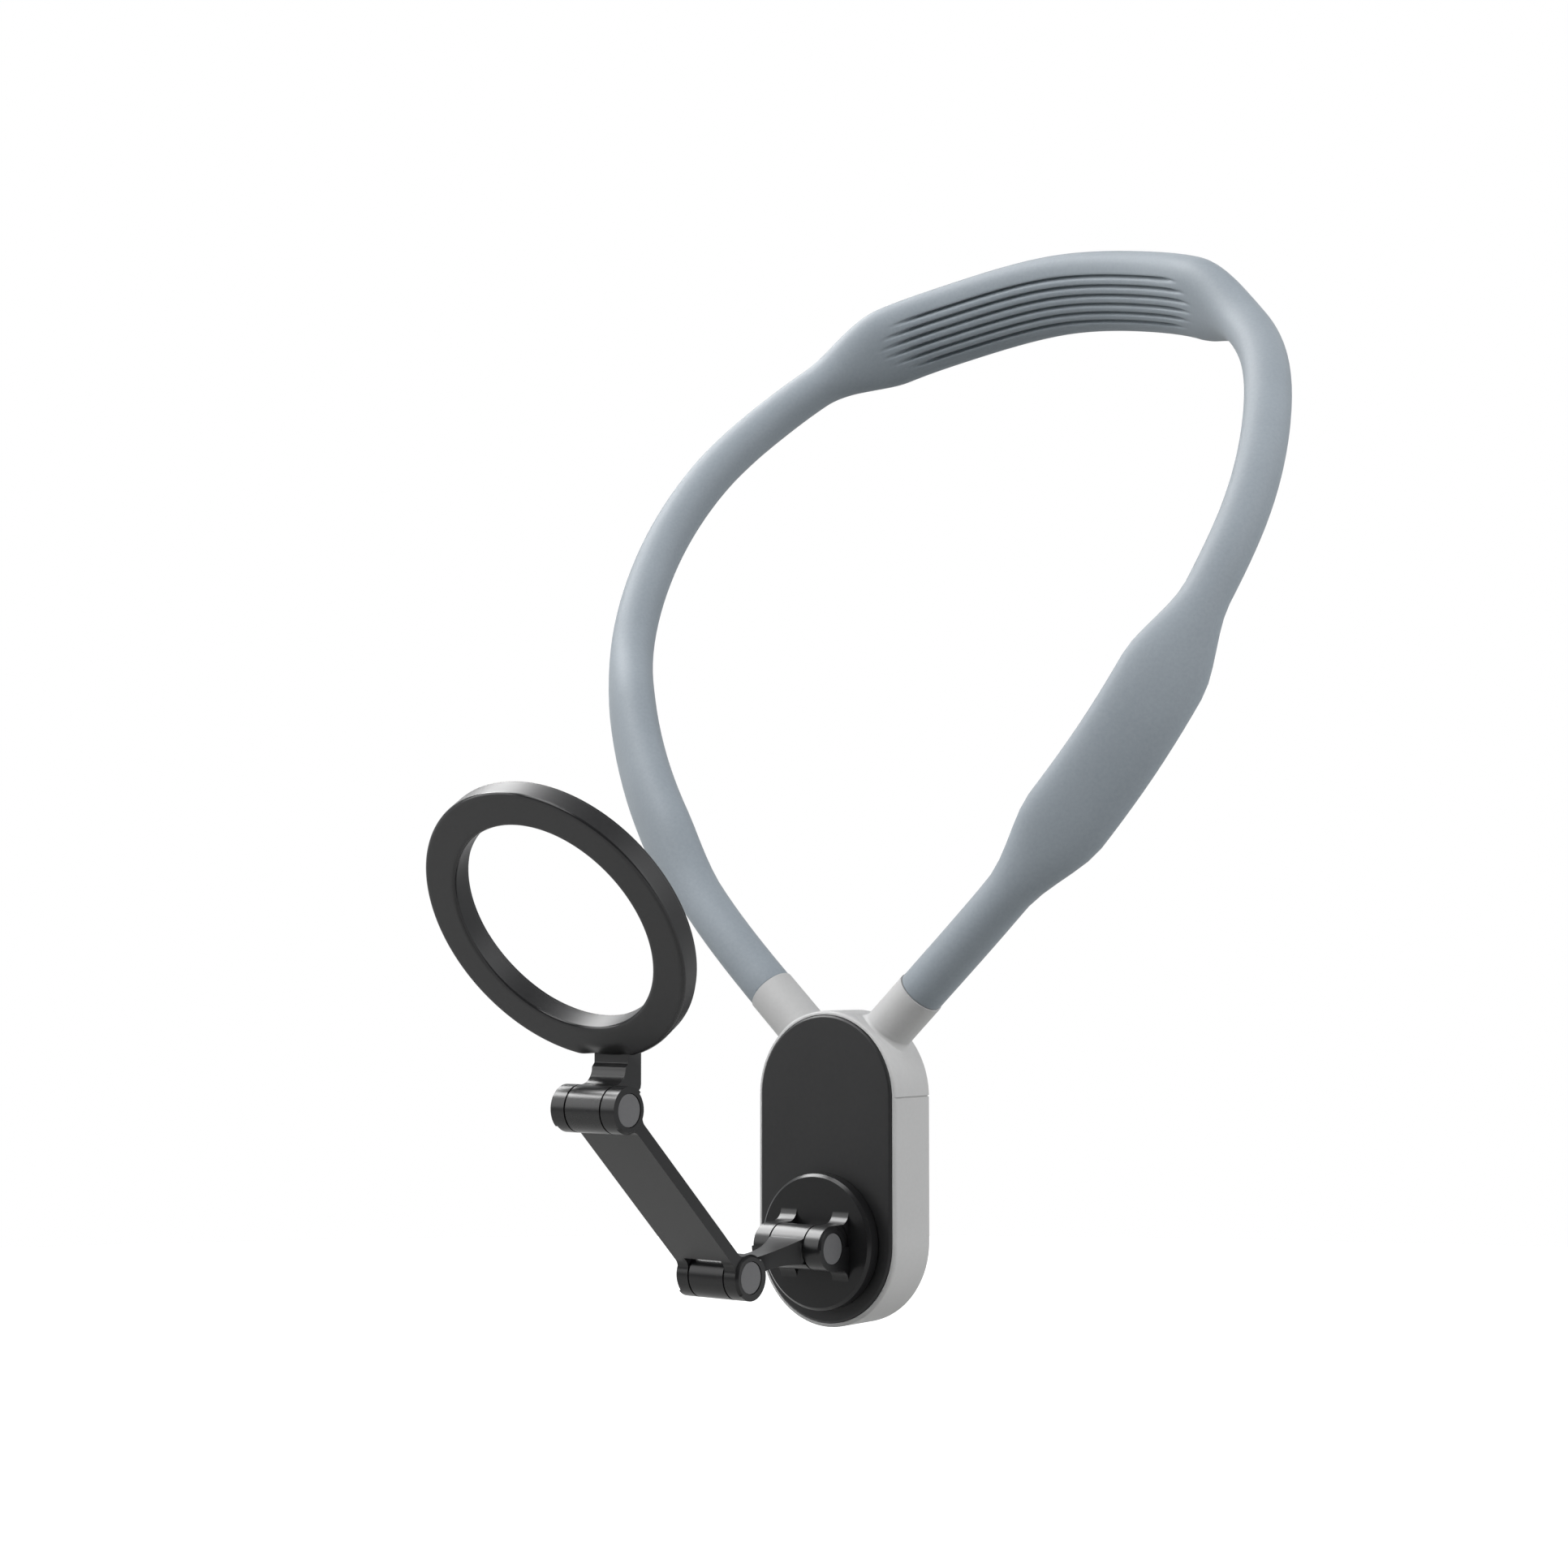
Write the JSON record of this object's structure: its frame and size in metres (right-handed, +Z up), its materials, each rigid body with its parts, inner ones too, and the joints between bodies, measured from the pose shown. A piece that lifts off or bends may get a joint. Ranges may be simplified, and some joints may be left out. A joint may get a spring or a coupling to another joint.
{
  "type": "neck phone holder",
  "caption": "Hands-free phone holder: a bendable padded loop hangs round the neck and carries a pod on the chest, whose turntable and hinged arm hold a magnetic ring.",
  "frame": {"origin": "middle of the neck pad's inner face, where the loop rests on the back of the wearer's neck", "axes": "+X to the wearer's left, +Y from the chest through the neck to the wearer's back, +Z up; the pod's chest face points along +Y"},
  "size_m": [0.1654, 0.1958, 0.2367],
  "materials": {
    "silicone": "soft blue-grey silicone, matt",
    "core_metal": "bare annealed wire",
    "steel": "plain steel",
    "grey_plastic": "light grey, fine satin",
    "black_plate": "black, satin",
    "block_metal": "machined",
    "slide_plastic": "natural low-friction plastic",
    "arm_metal": "black anodised, satin",
    "cap_metal": "dark grey, satin",
    "washer_plastic": "black low-friction plastic",
    "ring_plastic": "black, fine satin",
    "magnet_metal": "nickel-plated magnet",
    "pad_rubber": "soft black pad"
  },
  "bodies": {
    "neck_yoke": {"sleeve": "silicone", "bend_core": "core_metal", "core_plugs": "steel", "upper_shell": "grey_plastic", "lower_shell": "grey_plastic", "front_plate": "black_plate", "chassis": "steel", "anchor_block": "block_metal", "anchor_screws": "steel", "shell_screws": "steel", "glide_ring": "slide_plastic"},
    "turntable": {"turntable": "arm_metal", "spring_washer": "steel", "hub_plate": "steel", "hub_screw": "steel", "base_pin": "steel", "base_caps": "cap_metal"},
    "short_link": {"short_link": "arm_metal", "base_washers": "washer_plastic", "middle_washers": "washer_plastic"},
    "long_bar": {"long_bar": "arm_metal", "middle_pin": "steel", "middle_caps": "cap_metal", "ring_pin": "steel", "ring_caps": "cap_metal"},
    "ring": {"ring_body": "ring_plastic", "ring_washers": "washer_plastic", "yoke_ring": "steel", "magnets": "magnet_metal", "ring_cover": "ring_plastic", "contact_pad": "pad_rubber"}
  },
  "joints": [
    {"name": "turntable_spin", "type": "hinge", "parent": "neck_yoke", "child": "turntable", "pos_m": [0, -0.08687, -0.20779], "axis": [0, 1, 0], "continuous": true},
    {"name": "base_hinge", "type": "hinge", "parent": "turntable", "child": "short_link", "pos_m": [0, -0.09537, -0.20819], "axis": [1, 0, 0], "range_deg": [-60, 60]},
    {"name": "middle_hinge", "type": "hinge", "parent": "short_link", "child": "long_bar", "pos_m": [0, -0.12052, -0.21173], "axis": [1, 0, 0], "range_deg": [-20, 105]},
    {"name": "ring_hinge", "type": "hinge", "parent": "long_bar", "child": "ring", "pos_m": [0, -0.15654, -0.17791], "axis": [1, 0, 0], "range_deg": [-40, 150]}
  ]
}
